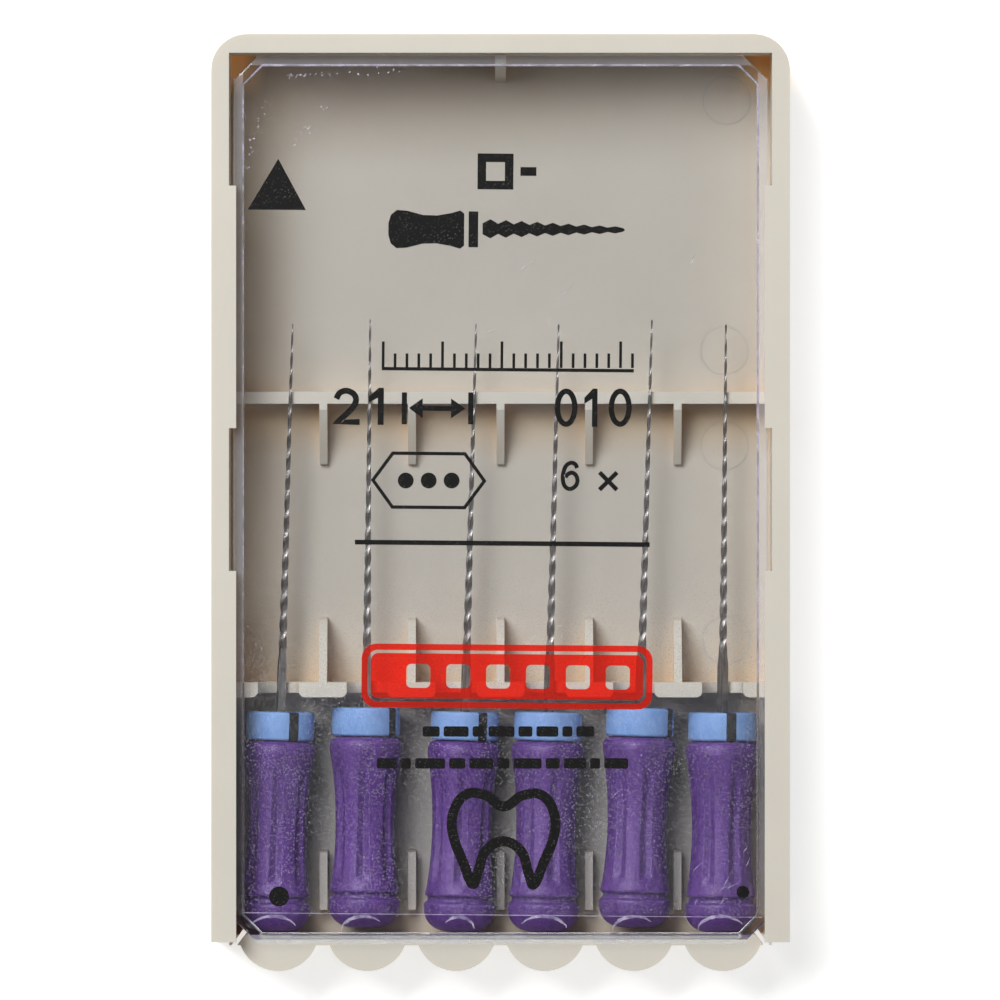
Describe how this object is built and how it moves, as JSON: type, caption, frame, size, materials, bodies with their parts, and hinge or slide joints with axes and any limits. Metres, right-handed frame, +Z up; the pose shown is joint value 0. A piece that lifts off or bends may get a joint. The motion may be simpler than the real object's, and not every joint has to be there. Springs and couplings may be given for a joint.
{
  "type": "endodontic file pack",
  "caption": "Flat tray with a clear sliding cover that holds a row of colour-coded endodontic hand files with twisted blades, fluted handles and silicone stops.",
  "frame": {"origin": "centre of the footprint on the plane of the tray's underside", "axes": "+Z up out of the tray through the cover, +Y from the handles to the file tips, +X to the right when seen from above with the tips away from the viewer"},
  "size_m": [0.029, 0.047, 0.0063],
  "materials": {
    "ivory_plastic": "ivory injection moulded polystyrene, slightly translucent",
    "clear_plastic": "clear injection moulded polystyrene with fine haze and handling scratches",
    "purple_plastic": "satin purple moulded plastic with fine pearl speckle",
    "stainless_steel": "ground stainless steel wire",
    "blue_silicone": "light blue silicone",
    "black_silicone": "black silicone",
    "black_ink": "black printed ink",
    "red_ink": "red printed ink"
  },
  "bodies": {
    "tray": {"tray": "ivory_plastic"},
    "cover": {"cover": "clear_plastic"},
    "file_1": {"handle_1": "purple_plastic", "shaft_1": "stainless_steel"},
    "stop_1": {"stop_1": "blue_silicone", "stop_mark_1": "black_silicone"},
    "file_2": {"handle_2": "purple_plastic", "shaft_2": "stainless_steel"},
    "stop_2": {"stop_2": "blue_silicone", "stop_mark_2": "black_silicone"},
    "file_3": {"handle_3": "purple_plastic", "shaft_3": "stainless_steel"},
    "stop_3": {"stop_3": "blue_silicone", "stop_mark_3": "black_silicone"},
    "file_4": {"handle_4": "purple_plastic", "shaft_4": "stainless_steel"},
    "stop_4": {"stop_4": "blue_silicone", "stop_mark_4": "black_silicone"},
    "file_5": {"handle_5": "purple_plastic", "shaft_5": "stainless_steel"},
    "stop_5": {"stop_5": "blue_silicone", "stop_mark_5": "black_silicone"},
    "file_6": {"handle_6": "purple_plastic", "shaft_6": "stainless_steel"},
    "stop_6": {"stop_6": "blue_silicone", "stop_mark_6": "black_silicone"}
  },
  "joints": [
    {"name": "cover_slide", "type": "slide", "parent": "tray", "child": "cover", "axis": [0, -1, 0], "range_m": [0, 0.047]},
    {"name": "file_1_roll", "type": "hinge", "parent": "tray", "child": "file_1", "pos_m": [-0.01125, -0.01646, 0.0027], "axis": [0.0311, 0.9995, 0], "continuous": true},
    {"name": "stop_1_slide", "type": "slide", "parent": "file_1", "child": "stop_1", "axis": [0.0311, 0.9995, 0], "range_m": [0, 0.0006]},
    {"name": "file_2_roll", "type": "hinge", "parent": "tray", "child": "file_2", "pos_m": [-0.00682, -0.01646, 0.0027], "axis": [0.0105, 0.9999, 0], "continuous": true},
    {"name": "stop_2_slide", "type": "slide", "parent": "file_2", "child": "stop_2", "axis": [0.0105, 0.9999, 0], "range_m": [0, 0.0004]},
    {"name": "file_3_roll", "type": "hinge", "parent": "tray", "child": "file_3", "pos_m": [-0.00196, -0.01646, 0.0027], "axis": [0.0288, 0.9996, 0], "continuous": true},
    {"name": "stop_3_slide", "type": "slide", "parent": "file_3", "child": "stop_3", "axis": [0.0288, 0.9996, 0], "range_m": [0, 0.0006]},
    {"name": "file_4_roll", "type": "hinge", "parent": "tray", "child": "file_4", "pos_m": [0.00226, -0.01646, 0.0027], "axis": [0.0262, 0.9997, 0], "continuous": true},
    {"name": "stop_4_slide", "type": "slide", "parent": "file_4", "child": "stop_4", "axis": [0.0262, 0.9997, 0], "range_m": [0, 0.0006]},
    {"name": "file_5_roll", "type": "hinge", "parent": "tray", "child": "file_5", "pos_m": [0.00685, -0.01646, 0.0027], "axis": [0.03, 0.9995, 0], "continuous": true},
    {"name": "stop_5_slide", "type": "slide", "parent": "file_5", "child": "stop_5", "axis": [0.03, 0.9995, 0], "range_m": [0, 0.0004]},
    {"name": "file_6_roll", "type": "hinge", "parent": "tray", "child": "file_6", "pos_m": [0.01111, -0.01646, 0.0027], "axis": [0.0093, 1, 0], "continuous": true},
    {"name": "stop_6_slide", "type": "slide", "parent": "file_6", "child": "stop_6", "axis": [0.0093, 1, 0], "range_m": [0, 0.0006]}
  ]
}
